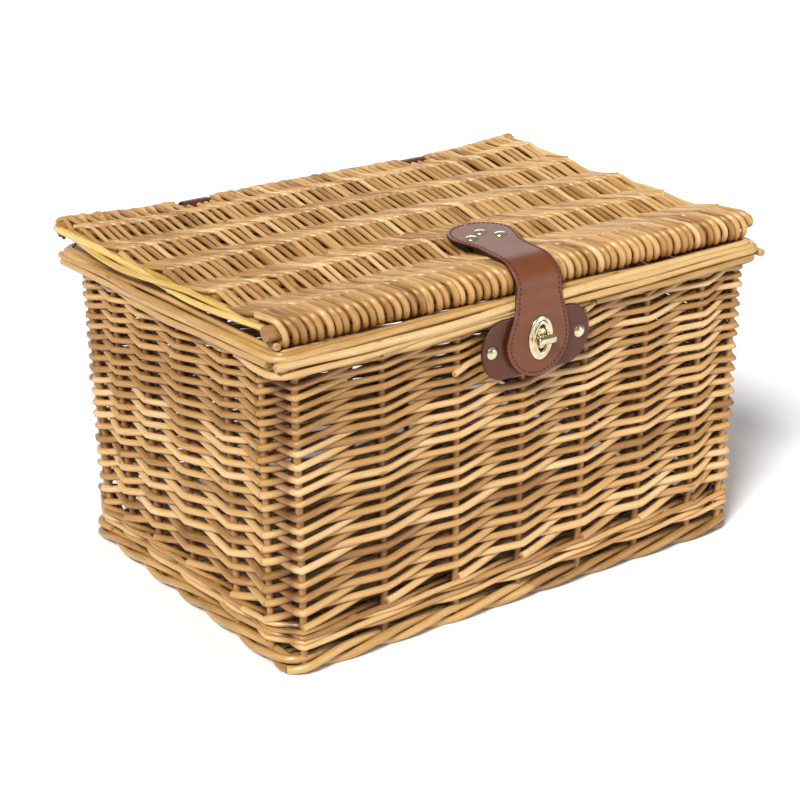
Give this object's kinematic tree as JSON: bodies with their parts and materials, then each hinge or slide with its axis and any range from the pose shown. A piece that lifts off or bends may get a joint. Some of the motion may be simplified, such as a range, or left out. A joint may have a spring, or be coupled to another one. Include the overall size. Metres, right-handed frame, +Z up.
{
  "type": "woven wicker basket",
  "caption": "Rectangular lidded willow hamper with leaning woven walls, leather loop hinges, a leather front strap and a brass turn-lock.",
  "frame": {"origin": "bottom centre of the overall box, on the plane the foot stands on", "axes": "+X along the long side to the right seen from the lock, +Y from the lock to the hinges, +Z up"},
  "size_m": [0.4, 0.3064, 0.2433],
  "materials": {
    "willow_weave": "peeled buff willow, satin",
    "willow_border": "peeled buff willow, satin",
    "willow_base": "peeled buff willow, matt",
    "willow_stake": "peeled buff willow, matt",
    "willow_gold": "yellow peeled willow, satin",
    "leather": "smooth brown leather with dark edges",
    "brass": "pale polished brass"
  },
  "bodies": {
    "basket": {"foot_border": "willow_border", "base_weave": "willow_base", "bottom_wale": "willow_weave", "wall_front": "willow_weave", "wall_right": "willow_weave", "wall_back": "willow_weave", "wall_left": "willow_weave", "wall_corners": "willow_weave", "stakes_front": "willow_stake", "stakes_right": "willow_stake", "stakes_back": "willow_stake", "stakes_left": "willow_stake", "rim_front": "willow_border", "rim_right": "willow_border", "rim_back": "willow_border", "rim_left": "willow_border", "rim_corners": "willow_border", "lock_leather": "leather", "lock_rivets": "brass", "lock_base": "brass", "hinge_left": "leather", "hinge_right": "leather"},
    "lid": {"lid_front_stick": "willow_stake", "lid_back_stick": "willow_stake", "lid_cross_sticks": "willow_stake", "lid_weave": "willow_weave", "lid_front_roll": "willow_weave", "lid_back_roll": "willow_weave", "lid_edge_left": "willow_gold", "lid_edge_right": "willow_gold", "strap_top": "leather", "strap_rivets": "brass"},
    "strap": {"strap_flap": "leather", "strap_eyelet": "brass"},
    "knob": {"lock_knob": "brass"}
  },
  "joints": [
    {"name": "lid_hinge", "type": "hinge", "parent": "basket", "child": "lid", "pos_m": [0, 0.1365, 0.2293], "axis": [-1, 0, 0], "range_deg": [0, 170]},
    {"name": "strap_fold", "type": "hinge", "parent": "lid", "child": "strap", "pos_m": [0, -0.1331, 0.2293], "axis": [-1, 0, 0], "range_deg": [0, 100]},
    {"name": "lock_turn", "type": "hinge", "parent": "basket", "child": "knob", "pos_m": [-0.006, -0.1503, 0.193], "axis": [0, 1, 0], "range_deg": [0, 90]}
  ]
}
